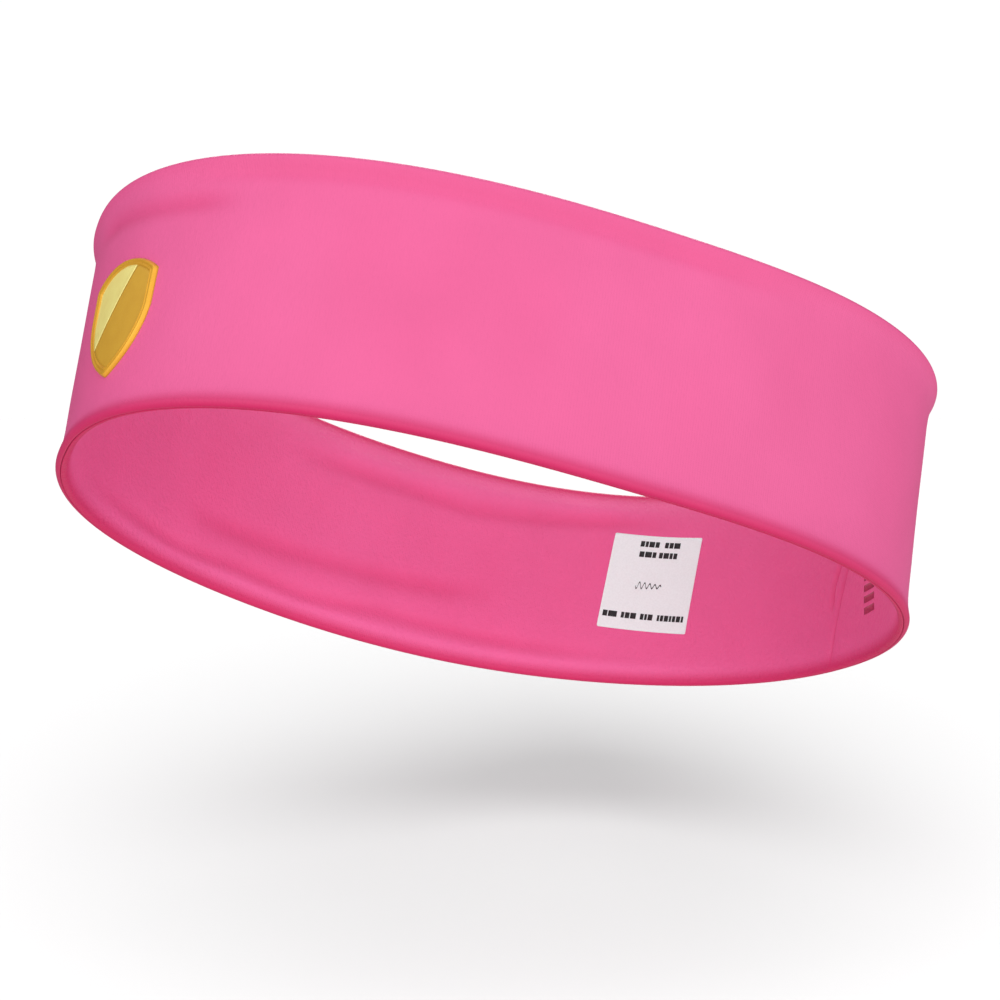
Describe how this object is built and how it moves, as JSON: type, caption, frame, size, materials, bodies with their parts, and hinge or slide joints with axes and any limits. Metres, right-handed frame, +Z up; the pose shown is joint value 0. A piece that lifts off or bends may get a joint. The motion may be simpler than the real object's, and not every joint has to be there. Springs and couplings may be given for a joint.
{
  "type": "sports headband",
  "caption": "Stretch knit sports headband: a double-layer ring with rolled sewn edges, an upright closing seam, a shield emblem outside and a printed care label inside.",
  "frame": {"origin": "under the middle of the ring, level with the lowest points of the bottom rim", "axes": "+Z up along the wearer's head, -Y toward the forehead, +Y toward the closing seam"},
  "size_m": [0.1538, 0.2048, 0.0628],
  "materials": {
    "outer_knit": "matte stretch knit",
    "inner_knit": "matte stretch knit",
    "sewing_thread": "spun thread",
    "emblem_backing_film": "satin transfer film",
    "emblem_gold": "metallic gold transfer",
    "label_white": "matte transfer film",
    "label_ink": "matte ink",
    "size_mark_ink": "matte ink"
  },
  "bodies": {
    "root": {"outer_panel": "outer_knit", "inner_panel": "inner_knit", "top_edge_thread": "sewing_thread", "bottom_edge_thread": "sewing_thread", "closing_seam_thread": "sewing_thread", "turning_gap_thread": "sewing_thread", "emblem_backing": "emblem_backing_film", "emblem_border": "emblem_gold", "emblem_left_field": "emblem_gold", "emblem_right_field": "emblem_gold", "label_film": "label_white", "label_bar_1": "label_ink", "label_bar_2": "label_ink", "label_bar_3": "label_ink", "label_bar_4": "label_ink", "label_bar_5": "label_ink", "label_bar_6": "label_ink", "label_bar_7": "label_ink", "label_bar_8": "label_ink", "label_bar_9": "label_ink", "size_mark_bar_1": "size_mark_ink", "size_mark_bar_2": "size_mark_ink", "size_mark_bar_3": "size_mark_ink", "size_mark_bar_4": "size_mark_ink"}
  },
  "joints": []
}
